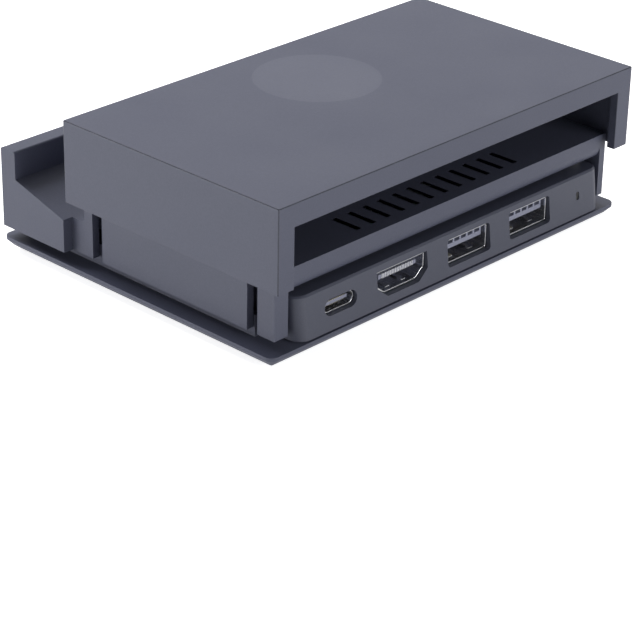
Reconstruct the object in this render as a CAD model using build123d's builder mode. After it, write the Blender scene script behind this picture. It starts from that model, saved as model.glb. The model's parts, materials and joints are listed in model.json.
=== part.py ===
"""Dock for a handheld game console: a hollow cover over a housing with a console slot, and ports at the back.

Millimetres. X runs from end to end, +Y points to the ports, -Y to the lip in front of the console, and Z up
from the table. The origin is the middle of the dock's box, on the table.
"""

import os

from build123d import *

os.makedirs("parts", exist_ok=True)

# Plan
cover_length = 108.0
cover_depth = 61.2
slot_width = 16.2  # between the lip and the cover, for a console about 14 thick
lip_thick = 4.4
base_ledge = 0.2  # base plate in front of the lip
base_inset = 0.1  # base plate short of the cover at each end
cover_overhang = 1.6  # cover behind the base plate's back edge

# Heights
foot_stand = 0.8
base_thick = 2.4
shadow_gap = 2.2  # open gap between the base plate and the housing
house_height = 14.4  # housing's lower edge to its deck
cover_lap = 2.4  # cover's walls below the deck
cover_height = 18.1
lip_height = 17.9  # housing's lower edge to the lip's top
lip_rise = 6.2  # lip above the slot floor beside it
floor_drop = 4.3  # slot floor falls towards the cover

# Top cover
cover_wall = 2.0
cover_roof = 2.2
cover_edge = 0.3
post_width = 4.4  # uprights beside the opening in the back wall
lintel_height = 5.0  # band above that opening
rib_depth = 2.4  # ribs on the end walls that stand on the deck
rib_thick = 1.6
rib_front = 7.0  # first rib behind the housing's front wall
rib_pitch = 30.0
catch_length = 12.0  # catches that hold the cover to the housing's end walls
catch_height = 0.6
catch_gap = 0.1  # between the two catches
catch_room = 0.3  # between a catch and the wall it faces

# Housing
house_wall = 1.8
end_gap = 0.8  # between the cover's end walls and the housing
front_gap = 0.6  # between the cover's front wall and the housing
rear_setback = 3.6  # housing in front of the cover's back face
lip_step = 2.4  # lip stands out past the housing's end walls
lip_round = 0.5
floor_setback = 1.2  # slope ends this far in front of the cover
floor_blend = 1.2  # hollow round where the floor meets the front wall
end_slot = 2.0  # two slots free the middle of each end wall as a spring tongue
front_slab = 6.3  # end wall in front of its first slot
rear_pillar = 5.5  # end wall behind its second slot
upright_round = 1.4  # where an end wall starts again behind a slot
band_thick = 3.6
band_roll = 3.2  # radius at the band's lower edge
groove = 1.0  # between the band and the port box
vent_count = 12
vent_pitch = 4.4
vent_width = 1.4
vent_length = 7.0
vent_margin = 3.2  # from the deck's back edge
hook_length = 12.0  # hook inside each spring tongue
hook_reach = 0.7
hook_height = 1.0
hook_lift = 0.4  # above the tongue's lower edge
hook_gap = 0.1

# Base plate and feet
base_bevel = 1.6
base_corner = 0.4  # radius left at the corners under the bevel
rim_gap = 0.3  # locating rim inside the housing's walls
rim_thick = 1.4
rim_lap = 2.6  # rim above the housing's lower edge
rim_end_gap = 1.5  # between the rim and the port box
seat_length = 5.0  # blocks on the plate that the housing's front wall stands on
seat_setback = 1.2  # behind that wall's outer face
seat_front = 30.0  # to each side of the middle
deck_post_width = 4.0  # posts on the plate that the deck rests on
deck_post_rear = 9.5  # from the housing's back face to a post's middle
foot_width = 10.0
foot_inset = 9.0  # from the base plate's edges to a foot's middle

# Port box
box_margin = 5.3  # housing's end to the port box's, beside the power socket; the other end fills the housing
box_brow = 1.6  # above the apertures
box_wall = 1.4
box_round = 3.0
box_edge = 0.4
box_lean = 0.12  # the face falls back this much for each millimetre of height
box_reveal = 0.2  # face's foot inside the base plate's edge
box_gap = 0.35  # round the port box in the housing
box_tail = 4.0  # the port box reaches in behind the housing's back wall
ear_width = 1.0  # ear behind the housing's back wall
ear_thick = 1.2

# Circuit board
board_lift = 1.05  # above the base plate
board_thick = 1.2
board_margin = 5.3  # between the board's ends and the locating rim
board_rear_gap = 0.4
board_front_gap = 7.8  # behind the housing's front wall
board_tail_width = 24.0  # strip that reaches under the console slot
board_tail_margin = 1.5  # board in front of the plug's pedestal
board_post_width = 4.6
board_post_inset = 3.4
board_rib_thick = 1.4  # rib across the plate that the board's back rests on
board_rib_rear = 14.6  # from the board's back edge to the rib's middle
screw_width = 1.6
screw_head = 3.0
screw_head_height = 0.8
screw_reach = 2.0  # below the board
screw_hole_slack = 0.4
pilot_slack = 0.1
pilot_spare = 0.3  # pilot holes past the screw's end

# What the board carries: each piece's size, and its places along the board, from the left end or, where
# negative, from the right end, and behind its front edge or, where negative, in front of the data sockets
capacitor_row = 8.6
capacitor_along = (22.4, 26.4, -32.4, -28.4, -24.4, -18.4)
board_pieces = {
    "hub_chip": ((7.0, 7.0, 0.9), [(28.4, 16.6)]),
    "video_chip": ((8.0, 8.0, 0.9), [(-28.4, 20.6)]),
    "power_chip": ((5.0, 5.0, 0.9), [(-14.4, 24.6)]),
    "crystal": ((3.2, 2.5, 0.8), [(37.4, 16.6)]),
    "inductors": ((6.0, 6.0, 3.0), [(-14.4, 15.6), (12.4, -8.1)]),
    "capacitors": ((1.6, 3.2, 1.6), [(x, capacitor_row) for x in capacitor_along]),
}

# Sockets, to their standard openings
aperture_gap = 0.15
sheet = 0.3  # folded metal of the shells
mouth_inset = 0.5  # shells behind the face at the top of their apertures
contact_thick = 0.15
tongue_inset = 0.8  # tongues behind the mouth
tongue_block = 3.0  # block that carries a tongue in the back of its shell
type_a_width = 12.5
type_a_opening = 5.1
type_a_round = 0.3
type_a_length = 13.0
type_a_x = (-5.0, -24.7)
type_a_tongue = (11.1, 1.9)
type_a_tongue_drop = 0.5  # below the shell's inner top
type_a_notch = (1.6, 1.6, 0.9)
type_a_notch_count = 5
type_a_notch_pitch = 2.1
type_a_contact = (1.0, 7.5)
type_a_contact_x = (-3.5, -1.0, 1.0, 3.5)
video_width = 14.2
video_opening = 4.9
video_foot = 9.0  # width along the opening's bottom
video_shoulder = 2.0  # height of its slanted lower corners
video_length = 11.0
video_x = 15.5
video_tongue = (11.2, 0.9)
video_tongue_drop = 1.2
video_contact = (0.5, 6.0)
video_contact_pitch = 1.0
video_contact_counts = (10, 9)
type_c_width = 8.34
type_c_opening = 2.56
type_c_length = 7.5
type_c_x = 33.7
type_c_tongue = (6.7, 0.7)
type_c_contact = (0.28, 3.0)
type_c_contact_pitch = 0.5
type_c_contact_count = 12
leg_width = 1.2  # metal legs that lift the small socket off the board
leg_height = 1.27

# Status light
light_width = 1.0
light_height = 1.9
light_margin = 8.05  # from the port box's end
light_slack = 0.1
led_size = (1.6, 0.9, 0.7)
led_inset = 2.5  # from the board's back edge
pipe_leg = 1.6
pipe_gap = 0.1

# Plug in the console slot
plug_width = 8.25
plug_thick = 2.4
plug_stand = 6.6  # plug above its pedestal
plug_seat = 3.0  # plug sunk in the pedestal
plug_wall = 0.3
plug_recess = 0.6  # insert below the plug's rim
plug_socket_width = 6.9
plug_socket_thick = 0.9
plug_socket_depth = 5.0
pedestal_width = 13.0
pedestal_thick = 6.4
pedestal_rise = 2.6  # above the middle of the slot floor
pedestal_gap = 0.25
pedestal_edge = 0.5

# Levels
base_bottom = foot_stand
base_top = base_bottom + base_thick
house_bottom = base_top + shadow_gap
deck_top = house_bottom + house_height
deck_under = deck_top - house_wall
cover_bottom = deck_top - cover_lap
cover_top = cover_bottom + cover_height
lip_top = house_bottom + lip_height
floor_high = lip_top - lip_rise
floor_low = floor_high - floor_drop
board_bottom = base_top + board_lift
board_top = board_bottom + board_thick
type_a_axis = board_top + sheet + type_a_opening / 2
video_axis = board_top + sheet + video_opening / 2
type_c_axis = board_top + leg_height + sheet + type_c_opening / 2
light_axis = type_a_axis
apertures_top = type_a_axis + type_a_opening / 2 + sheet + aperture_gap
box_top = apertures_top + box_brow
band_bottom = box_top + groove

# Places in plan
total_depth = base_ledge + lip_thick + slot_width + cover_depth
base_front = -total_depth / 2
base_back = total_depth / 2 - cover_overhang
base_middle = (base_front + base_back) / 2
base_length = cover_length - 2 * base_inset
lip_front = base_front + base_ledge
lip_inner = lip_front + lip_thick
cover_front = lip_inner + slot_width
cover_back = cover_front + cover_depth
cover_middle = (cover_front + cover_back) / 2
cover_inner = cover_length / 2 - cover_wall
floor_end = cover_front - floor_setback
house_front = cover_front + cover_wall + front_gap
house_back = cover_back - rear_setback
house_half = cover_inner - end_gap
lip_half = house_half + lip_step
core_half = house_half - house_wall
core_front = lip_front + house_wall
core_back = house_back - house_wall
slot_front = floor_end + front_slab
slot_back = house_back - rear_pillar - end_slot
tongue_middle = (slot_front + end_slot + slot_back) / 2
box_right = house_half - box_margin
box_left = box_gap - core_half
box_half = (box_right - box_left) / 2
box_middle = (box_right + box_left) / 2
box_foot = base_back - box_reveal
box_inner = core_back - box_tail
rim_half = core_half - rim_gap
rim_inner = rim_half - rim_thick
board_half = rim_inner - board_margin
board_front = house_front + house_wall + board_front_gap
plug_y = lip_inner + slot_width / 2
light_x = box_left + light_margin
touch = 0.01  # for choosing faces and edges by their place


def face_y(height):
    """Gives the Y of the port box's leaning face at a height."""
    return box_foot - box_lean * (height - base_top)


def floor_z(y):
    """Gives the height of the slot floor's slope at a place across the slot."""
    return floor_high - floor_drop * (y - lip_inner) / (floor_end - lip_inner)


def board_place(along, behind):
    """Gives a place on the board, from its left or right end, and from its front edge or the data sockets."""
    end = board_half if along < 0 else -board_half
    edge = mouth - type_a_length if behind < 0 else board_front
    return end + along, edge + behind, board_top


def both_ends(x, *rows):
    """Gives a place at each end of the dock for every row."""
    return [(end * x, y) for y in rows for end in (1, -1)]


board_back = face_y(board_bottom) - box_wall - board_rear_gap
mouth = face_y(apertures_top) - mouth_inset
post_x = board_half - board_post_inset
screw_places = both_ends(post_x, board_front + board_post_inset)

# Base plate: bevelled underneath, with a locating rim, blocks and posts under the housing, and posts and a
# rib for the board
rim_front = core_front + rim_gap
rim_back = box_inner - rim_end_gap
deck_post_x = (board_half + rim_inner) / 2
hook_foot = house_bottom + hook_lift
hook_groove = hook_reach - rim_gap + hook_gap

with BuildPart() as base_plate:
    with BuildSketch(Plane.XY.offset(base_bottom)):
        with Locations((0, base_middle)):
            RectangleRounded(base_length, base_back - base_front, base_bevel + base_corner)
    extrude(amount=base_thick)
    chamfer(base_plate.faces().sort_by(Axis.Z)[0].edges(), base_bevel)
    with BuildSketch(Plane.XY.offset(base_top)):
        with Locations((0, rim_front)):
            Rectangle(2 * rim_half, rim_back - rim_front, align=(Align.CENTER, Align.MIN))
        with Locations((0, rim_front + rim_thick)):
            Rectangle(
                2 * rim_inner,
                rim_back - rim_front,
                align=(Align.CENTER, Align.MIN),
                mode=Mode.SUBTRACT,
            )
    extrude(amount=shadow_gap + rim_lap)
    with BuildSketch(Plane.XZ.offset(-tongue_middle)):
        with Locations(*both_ends(rim_half, hook_foot - hook_gap)):
            Rectangle(2 * hook_groove, hook_height + 2 * hook_gap, align=(Align.CENTER, Align.MIN))
    extrude(amount=hook_length / 2 + hook_gap, both=True, mode=Mode.SUBTRACT)
    with BuildSketch(Plane.XY.offset(base_top)):
        with Locations(*both_ends(seat_front, lip_front + seat_setback)):
            Rectangle(
                seat_length,
                rim_front + rim_thick - lip_front - seat_setback,
                align=(Align.CENTER, Align.MIN),
            )
    extrude(amount=shadow_gap)
    with BuildSketch(Plane.XY.offset(base_top)):
        with Locations(*both_ends(deck_post_x, house_back - deck_post_rear)):
            Rectangle(deck_post_width, deck_post_width)
    extrude(amount=deck_under - base_top)
    with BuildSketch(Plane.XY.offset(base_top)):
        with Locations(*screw_places):
            Rectangle(board_post_width, board_post_width)
        with Locations((0, board_back - board_rib_rear)):
            Rectangle(2 * board_half, board_rib_thick)
    extrude(amount=board_lift)
    with Locations(*[(x, y, board_bottom) for x, y in screw_places]):
        Hole((screw_width + pilot_slack) / 2, depth=screw_reach + pilot_spare)
base_plate.part.label = "base_plate"
export_step(base_plate.part, "parts/base_plate.step")

# Rubber feet, stuck under the base plate
foot_x = base_length / 2 - foot_inset
foot_places = {
    "foot_front_left": (-foot_x, base_front + foot_inset),
    "foot_front_right": (foot_x, base_front + foot_inset),
    "foot_back_left": (-foot_x, base_back - foot_inset),
    "foot_back_right": (foot_x, base_back - foot_inset),
}
for name, place in foot_places.items():
    with BuildPart() as foot:
        with BuildSketch():
            with Locations(place):
                Circle(foot_width / 2)
        extrude(amount=foot_stand)
    foot.part.label = name
    export_step(foot.part, f"parts/{name}.step")

# Hollow of the housing, open below: a wider stretch under the lip and slope, then the stretch under the deck
band_inner = house_back - band_thick
slope_end = floor_end - house_wall
with BuildPart() as housing_core:
    with BuildSketch(Plane.YZ):
        with BuildLine():
            Polyline(
                (core_front, house_bottom),
                (core_front, floor_high - house_wall),
                (lip_inner, floor_high - house_wall),
                (slope_end, floor_z(slope_end) - house_wall),
                (slope_end, house_bottom),
                close=True,
            )
        make_face()
    extrude(amount=lip_half - house_wall, both=True)
    with BuildSketch(Plane.YZ):
        with BuildLine():
            Polyline(
                (slope_end, house_bottom),
                (slope_end, floor_z(slope_end) - house_wall),
                (floor_end, floor_low - house_wall),
                (house_front + house_wall, floor_low - house_wall),
                (house_front + house_wall, deck_under),
                (band_inner, deck_under),
                (band_inner, band_bottom),
                (core_back, band_bottom),
                (core_back, house_bottom),
                close=True,
            )
        make_face()
    extrude(amount=core_half, both=True)

# Housing: lip and sloped slot floor in front, vented deck behind, band rolling under above the port box
catch_reach = end_gap - catch_room
with BuildPart() as housing:
    with BuildSketch(Plane.YZ):
        with BuildLine():
            Polyline(
                (lip_front, house_bottom),
                (lip_front, lip_top),
                (lip_inner, lip_top),
                (lip_inner, floor_high),
                (floor_end, floor_low),
                (floor_end, house_bottom),
                close=True,
            )
        make_face()
    extrude(amount=lip_half, both=True)
    fillet(housing.edges().filter_by(Axis.X).group_by(Axis.Z)[-1], lip_round)
    with BuildSketch(Plane.YZ):
        with BuildLine():
            Polyline(
                (house_front - floor_blend, floor_low),
                (floor_end, floor_low),
                (floor_end, house_bottom),
                (house_back, house_bottom),
                (house_back, deck_top),
                (house_front, deck_top),
                (house_front, floor_low + floor_blend),
            )
            CenterArc((house_front - floor_blend, floor_low + floor_blend), floor_blend, -90, 90)
        make_face()
    extrude(amount=house_half, both=True)
    add(housing_core.part, mode=Mode.SUBTRACT)
    with BuildSketch(Plane.YZ.offset(box_middle)):
        with BuildLine():
            Polyline(
                (house_back, band_bottom + band_roll),
                (house_back, house_bottom),
                (core_back, house_bottom),
                (core_back, band_bottom),
                (house_back - band_roll, band_bottom),
            )
            CenterArc((house_back - band_roll, band_bottom + band_roll), band_roll, -90, 90)
        make_face()
    extrude(amount=box_half + box_gap, both=True, mode=Mode.SUBTRACT)
    with BuildSketch(Plane.XY.offset(house_bottom)):
        with Locations(*both_ends(house_half, slot_front + end_slot / 2, slot_back + end_slot / 2)):
            Rectangle(2 * house_wall, end_slot)
    extrude(amount=deck_under - house_bottom, mode=Mode.SUBTRACT)
    for slot in (slot_front, slot_back):
        uprights = housing.edges().filter_by(Axis.Z).filter_by_position(
            Axis.Y, slot + end_slot - touch, slot + end_slot + touch
        )
        fillet(uprights.filter_by(lambda e: abs(abs(e.center().X) - house_half) < touch), upright_round)
    with BuildSketch(Plane.XY.offset(deck_top)):
        with Locations((0, house_back - vent_margin - vent_length / 2)):
            with GridLocations(vent_pitch, 0, vent_count, 1):
                Rectangle(vent_width, vent_length)
    extrude(amount=-house_wall, mode=Mode.SUBTRACT)
    with BuildSketch(Plane.XY.offset(floor_low - house_wall)):
        with Locations((0, plug_y)):
            SlotOverall(pedestal_width + 2 * pedestal_gap, pedestal_thick + 2 * pedestal_gap)
    extrude(amount=lip_top - floor_low, mode=Mode.SUBTRACT)
    with BuildSketch(Plane.XZ.offset(-tongue_middle)):
        for end in (1, -1):
            with BuildLine():
                Polyline(
                    (end * core_half, hook_foot),
                    (end * (core_half - hook_reach), hook_foot + hook_height / 2),
                    (end * (core_half - hook_reach), hook_foot + hook_height),
                    (end * core_half, hook_foot + hook_height),
                    close=True,
                )
            make_face()
    extrude(amount=hook_length / 2, both=True)
    with BuildSketch(Plane.XZ.offset(-tongue_middle)):
        with Locations(*both_ends(house_half, cover_bottom + catch_height + catch_gap)):
            Rectangle(2 * catch_reach, catch_height, align=(Align.CENTER, Align.MIN))
    extrude(amount=catch_length / 2, both=True)
housing.part.label = "housing"
export_step(housing.part, "parts/housing.step")

# Hollow of the cover, open below: the ribs that stand on the deck are left in it
with BuildPart() as cover_core:
    with BuildSketch(Plane.XY.offset(cover_bottom)):
        with Locations((0, cover_middle)):
            Rectangle(2 * cover_inner, cover_depth - 2 * cover_wall)
    extrude(amount=cover_height - cover_roof)
    with BuildSketch(Plane.XY.offset(deck_top)):
        with Locations(*both_ends(cover_inner, house_front + rib_front, house_front + rib_front + rib_pitch)):
            Rectangle(2 * rib_depth, rib_thick)
    extrude(amount=cover_height, mode=Mode.SUBTRACT)

# Top cover: plain cap, closed in front, with a wide opening in its back wall
with BuildPart() as top_cover:
    with BuildSketch(Plane.XY.offset(cover_bottom)):
        with Locations((0, cover_middle)):
            Rectangle(cover_length, cover_depth)
    extrude(amount=cover_height)
    fillet(top_cover.edges().filter_by(Axis.Z) + top_cover.faces().sort_by(Axis.Z)[-1].edges(), cover_edge)
    add(cover_core.part, mode=Mode.SUBTRACT)
    with BuildSketch(Plane.XZ.offset(-cover_back)):
        with Locations((0, cover_bottom)):
            Rectangle(
                cover_length - 2 * post_width,
                cover_height - lintel_height,
                align=(Align.CENTER, Align.MIN),
            )
    extrude(amount=cover_wall, mode=Mode.SUBTRACT)
    with BuildSketch(Plane.XZ.offset(-tongue_middle)):
        with Locations(*both_ends(cover_inner, cover_bottom)):
            Rectangle(2 * catch_reach, catch_height, align=(Align.CENTER, Align.MIN))
    extrude(amount=catch_length / 2, both=True)
top_cover.part.label = "top_cover"
export_step(top_cover.part, "parts/top_cover.step")


# Openings of the sockets, drawn round their axis and grown by a margin
def type_a_outline(grow):
    """Draws the wide data socket."""
    RectangleRounded(type_a_width + 2 * grow, type_a_opening + 2 * grow, type_a_round + grow)


def video_outline(grow):
    """Draws the display socket, with its lower corners cut off on the slant."""
    half, top, foot = video_width / 2, video_opening / 2, video_foot / 2
    Polygon(
        (-half, top),
        (-half, video_shoulder - top),
        (-foot, -top),
        (foot, -top),
        (half, video_shoulder - top),
        (half, top),
        align=None,
    )
    if grow:
        offset(amount=grow, kind=Kind.INTERSECTION)


def type_c_outline(grow):
    """Draws the small round-ended power socket."""
    SlotOverall(type_c_width + 2 * grow, type_c_opening + 2 * grow)


def across(x, y, axis):
    """Gives the plane across a socket's axis at a place along it, facing into the dock."""
    return Plane((x, y, axis), x_dir=(1, 0, 0), z_dir=(0, -1, 0))


# Port box: leaning face with rounded ends, open in front and below, held by an ear behind the housing's wall
with BuildPart() as port_core:
    with BuildSketch(Plane.YZ.offset(box_middle)):
        with BuildLine():
            Polyline(
                (box_inner, base_top),
                (box_foot - box_wall, base_top),
                (face_y(box_top - box_wall) - box_wall, box_top - box_wall),
                (box_inner, box_top - box_wall),
                close=True,
            )
        make_face()
    extrude(amount=box_half - box_wall, both=True)
    inner_corners = port_core.faces().sort_by(Axis.Y)[-1].edges().filter_by(Axis.X, reverse=True)
    fillet(inner_corners, box_round - box_wall)

sockets = [(type_a_outline, x, type_a_axis) for x in type_a_x]
sockets += [(video_outline, video_x, video_axis), (type_c_outline, type_c_x, type_c_axis)]
with BuildPart() as port_box:
    with BuildSketch(Plane.YZ.offset(box_middle)):
        with BuildLine():
            Polyline(
                (box_inner, base_top),
                (box_foot, base_top),
                (face_y(box_top), box_top),
                (box_inner, box_top),
                close=True,
            )
        make_face()
    extrude(amount=box_half, both=True)
    fillet(port_box.faces().sort_by(Axis.Y)[-1].edges().filter_by(Axis.X, reverse=True), box_round)
    top_edges = port_box.faces().sort_by(Axis.Z)[-1].edges()
    chamfer(top_edges.filter_by(lambda e: e.center().Y > box_inner + touch), box_edge)
    add(port_core.part, mode=Mode.SUBTRACT)
    with BuildSketch(Plane.XZ.offset(-core_back)):
        with Locations((box_right - box_wall, house_bottom)):
            Rectangle(
                box_wall + box_gap + ear_width,
                box_top - box_edge - house_bottom,
                align=(Align.MIN, Align.MIN),
            )
    extrude(amount=ear_thick)
    for outline, x, axis in sockets:
        with BuildSketch(across(x, box_foot, axis)):
            outline(sheet + aperture_gap)
        extrude(amount=box_foot - core_back, mode=Mode.SUBTRACT)
    with BuildSketch(across(light_x, box_foot, light_axis)):
        SlotOverall(light_height, light_width, rotation=90)
    extrude(amount=box_foot - core_back, mode=Mode.SUBTRACT)
port_box.part.label = "port_box"
export_step(port_box.part, "parts/port_box.step")


# Sockets: folded shells closed behind, and insulating tongues with their contacts
def socket_shell(outline, x, axis, length):
    """Makes a socket's metal shell, from the mouth back into the dock."""
    with BuildPart() as shell:
        with BuildSketch(across(x, mouth, axis)):
            outline(sheet)
        extrude(amount=length)
        with BuildSketch(across(x, mouth, axis)):
            outline(0)
        extrude(amount=length - sheet, mode=Mode.SUBTRACT)
    return shell.part


def socket_tongue(outline, x, axis, length, size, lift):
    """Makes a tongue, lifted from the axis, on the block that fills the back of its shell."""
    with BuildPart() as tongue:
        with BuildSketch(across(x, mouth - length + sheet + tongue_block, axis)):
            outline(0)
        extrude(amount=tongue_block)
        with BuildSketch(across(x, mouth - tongue_inset, axis + lift)):
            Rectangle(*size)
        extrude(amount=length - sheet - tongue_inset - tongue_block)
    return tongue.part


def contact_strips(size, places):
    """Makes contact strips that run back from the tongue's tip, each at its X and Z."""
    with BuildPart() as contacts:
        with Locations(*[(x, mouth - tongue_inset, z) for x, z in places]):
            Box(*size, contact_thick, align=(Align.CENTER, Align.MAX, Align.CENTER))
    return contacts.part


def row(x, count, pitch):
    """Gives evenly spaced places about a middle."""
    return [x + (i - (count - 1) / 2) * pitch for i in range(count)]


type_a_lift = type_a_opening / 2 - type_a_tongue_drop - type_a_tongue[1] / 2
type_a_top = type_a_axis + type_a_lift + type_a_tongue[1] / 2
type_a_under = type_a_top - type_a_tongue[1] - contact_thick / 2
for number, x in enumerate(type_a_x, start=1):
    type_a_shell = socket_shell(type_a_outline, x, type_a_axis, type_a_length)
    type_a_shell.label = f"type_a_shell_{number}"
    export_step(type_a_shell, f"parts/type_a_shell_{number}.step")
    with BuildPart() as type_a_insulator:
        add(socket_tongue(type_a_outline, x, type_a_axis, type_a_length, type_a_tongue, type_a_lift))
        with Locations((x, mouth - tongue_inset, type_a_top)):
            with GridLocations(type_a_notch_pitch, 0, type_a_notch_count, 1):
                Box(*type_a_notch, align=(Align.CENTER, Align.MAX, Align.MAX), mode=Mode.SUBTRACT)
    type_a_insulator.part.label = f"type_a_tongue_{number}"
    export_step(type_a_insulator.part, f"parts/type_a_tongue_{number}.step")
    type_a_places = [(x + place, type_a_under) for place in type_a_contact_x]
    type_a_contacts = contact_strips(type_a_contact, type_a_places)
    type_a_contacts.label = f"type_a_contacts_{number}"
    export_step(type_a_contacts, f"parts/type_a_contacts_{number}.step")

video_lift = video_opening / 2 - video_tongue_drop - video_tongue[1] / 2
video_skin = (video_tongue[1] + contact_thick) / 2
video_shell = socket_shell(video_outline, video_x, video_axis, video_length)
video_shell.label = "video_shell"
export_step(video_shell, "parts/video_shell.step")
video_insulator = socket_tongue(video_outline, video_x, video_axis, video_length, video_tongue, video_lift)
video_insulator.label = "video_tongue"
export_step(video_insulator, "parts/video_tongue.step")
video_places = []
for count, side in zip(video_contact_counts, (1, -1)):
    height = video_axis + video_lift + side * video_skin
    video_places += [(x, height) for x in row(video_x, count, video_contact_pitch)]
video_contacts = contact_strips(video_contact, video_places)
video_contacts.label = "video_contacts"
export_step(video_contacts, "parts/video_contacts.step")

type_c_skin = (type_c_tongue[1] + contact_thick) / 2
type_c_side = type_c_width / 2 + sheet / 2
with BuildPart() as type_c_shell:
    add(socket_shell(type_c_outline, type_c_x, type_c_axis, type_c_length))
    for leg_y in (mouth - box_wall - leg_width, mouth - type_c_length + leg_width):
        with Locations(*[(type_c_x + end * type_c_side, leg_y, type_c_axis) for end in (1, -1)]):
            Box(sheet, leg_width, type_c_axis - board_top, align=(Align.CENTER, Align.CENTER, Align.MAX))
type_c_shell.part.label = "type_c_shell"
export_step(type_c_shell.part, "parts/type_c_shell.step")
type_c_insulator = socket_tongue(type_c_outline, type_c_x, type_c_axis, type_c_length, type_c_tongue, 0)
type_c_insulator.label = "type_c_tongue"
export_step(type_c_insulator, "parts/type_c_tongue.step")
type_c_row = row(type_c_x, type_c_contact_count, type_c_contact_pitch)
type_c_places = [(x, type_c_axis + side * type_c_skin) for side in (1, -1) for x in type_c_row]
type_c_contacts = contact_strips(type_c_contact, type_c_places)
type_c_contacts.label = "type_c_contacts"
export_step(type_c_contacts, "parts/type_c_contacts.step")

# Circuit board, with a tail that reaches under the console slot, and its screws
tail_front = plug_y - pedestal_thick / 2 - board_tail_margin
with BuildPart() as main_board:
    with BuildSketch(Plane.XY.offset(board_bottom)):
        with Locations((0, board_back)):
            Rectangle(2 * board_half, board_back - board_front, align=(Align.CENTER, Align.MAX))
            Rectangle(board_tail_width, board_back - tail_front, align=(Align.CENTER, Align.MAX))
    extrude(amount=board_thick)
    with Locations(*[(x, y, board_top) for x, y in screw_places]):
        Hole((screw_width + screw_hole_slack) / 2, depth=board_thick)
main_board.part.label = "main_board"
export_step(main_board.part, "parts/main_board.step")
with BuildPart() as board_screws:
    with Locations(*[(x, y, board_top) for x, y in screw_places]):
        Cylinder(screw_head / 2, screw_head_height, align=(Align.CENTER, Align.CENTER, Align.MIN))
        Cylinder(screw_width / 2, board_thick + screw_reach, align=(Align.CENTER, Align.CENTER, Align.MAX))
board_screws.part.label = "board_screws"
export_step(board_screws.part, "parts/board_screws.step")
for name, (size, places) in board_pieces.items():
    with BuildPart() as board_piece:
        with Locations(*[board_place(*place) for place in places]):
            Box(*size, align=(Align.CENTER, Align.CENTER, Align.MIN))
    board_piece.part.label = name
    export_step(board_piece.part, f"parts/{name}.step")

# Status light: a chip on the board, and a clear pipe from it to the port box's face
led_y = board_back - led_inset
led_top = board_top + led_size[2]
pipe_end = face_y(light_axis + light_height / 2)
pipe_width = light_width - 2 * light_slack
with BuildPart() as status_led:
    with Locations((light_x, led_y, board_top)):
        Box(*led_size, align=(Align.CENTER, Align.CENTER, Align.MIN))
status_led.part.label = "status_led"
export_step(status_led.part, "parts/status_led.step")
with BuildPart() as light_pipe:
    with BuildSketch(across(light_x, pipe_end, light_axis)):
        SlotOverall(light_height - 2 * light_slack, pipe_width, rotation=90)
    extrude(amount=pipe_end - led_y)
    with BuildSketch(Plane.XY.offset(led_top + pipe_gap)):
        with Locations((light_x, led_y)):
            Rectangle(pipe_width, pipe_leg)
    extrude(amount=light_axis - led_top - pipe_gap)
light_pipe.part.label = "light_pipe"
export_step(light_pipe.part, "parts/light_pipe.step")

# Console plug: metal shell and insert, standing in a pedestal that comes up through the slot floor
pedestal_top = floor_z(plug_y) + pedestal_rise
plug_foot = pedestal_top - plug_seat
plug_height = plug_seat + plug_stand
insert_top = plug_foot + plug_height - plug_recess
with BuildPart() as plug_pedestal:
    with BuildSketch(Plane.XY.offset(board_top)):
        with Locations((0, plug_y)):
            SlotOverall(pedestal_width, pedestal_thick)
    extrude(amount=pedestal_top - board_top)
    chamfer(plug_pedestal.faces().sort_by(Axis.Z)[-1].edges(), pedestal_edge)
    with BuildSketch(Plane.XY.offset(plug_foot)):
        with Locations((0, plug_y)):
            SlotOverall(plug_width, plug_thick)
    extrude(amount=plug_seat, mode=Mode.SUBTRACT)
plug_pedestal.part.label = "plug_pedestal"
export_step(plug_pedestal.part, "parts/plug_pedestal.step")
with BuildPart() as plug_shell:
    with BuildSketch(Plane.XY.offset(plug_foot)):
        with Locations((0, plug_y)):
            SlotOverall(plug_width, plug_thick)
    extrude(amount=plug_height)
    with BuildSketch(Plane.XY.offset(plug_foot + plug_wall)):
        with Locations((0, plug_y)):
            SlotOverall(plug_width - 2 * plug_wall, plug_thick - 2 * plug_wall)
    extrude(amount=plug_height, mode=Mode.SUBTRACT)
plug_shell.part.label = "plug_shell"
export_step(plug_shell.part, "parts/plug_shell.step")
with BuildPart() as plug_insert:
    with BuildSketch(Plane.XY.offset(plug_foot + plug_wall)):
        with Locations((0, plug_y)):
            SlotOverall(plug_width - 2 * plug_wall, plug_thick - 2 * plug_wall)
    extrude(amount=insert_top - plug_foot - plug_wall)
    with BuildSketch(Plane.XY.offset(insert_top)):
        with Locations((0, plug_y)):
            Rectangle(plug_socket_width, plug_socket_thick)
    extrude(amount=-plug_socket_depth, mode=Mode.SUBTRACT)
plug_insert.part.label = "plug_insert"
export_step(plug_insert.part, "parts/plug_insert.step")
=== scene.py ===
"""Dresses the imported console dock: soft-edged mouldings, folded sockets, board pieces, a stage."""

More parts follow.
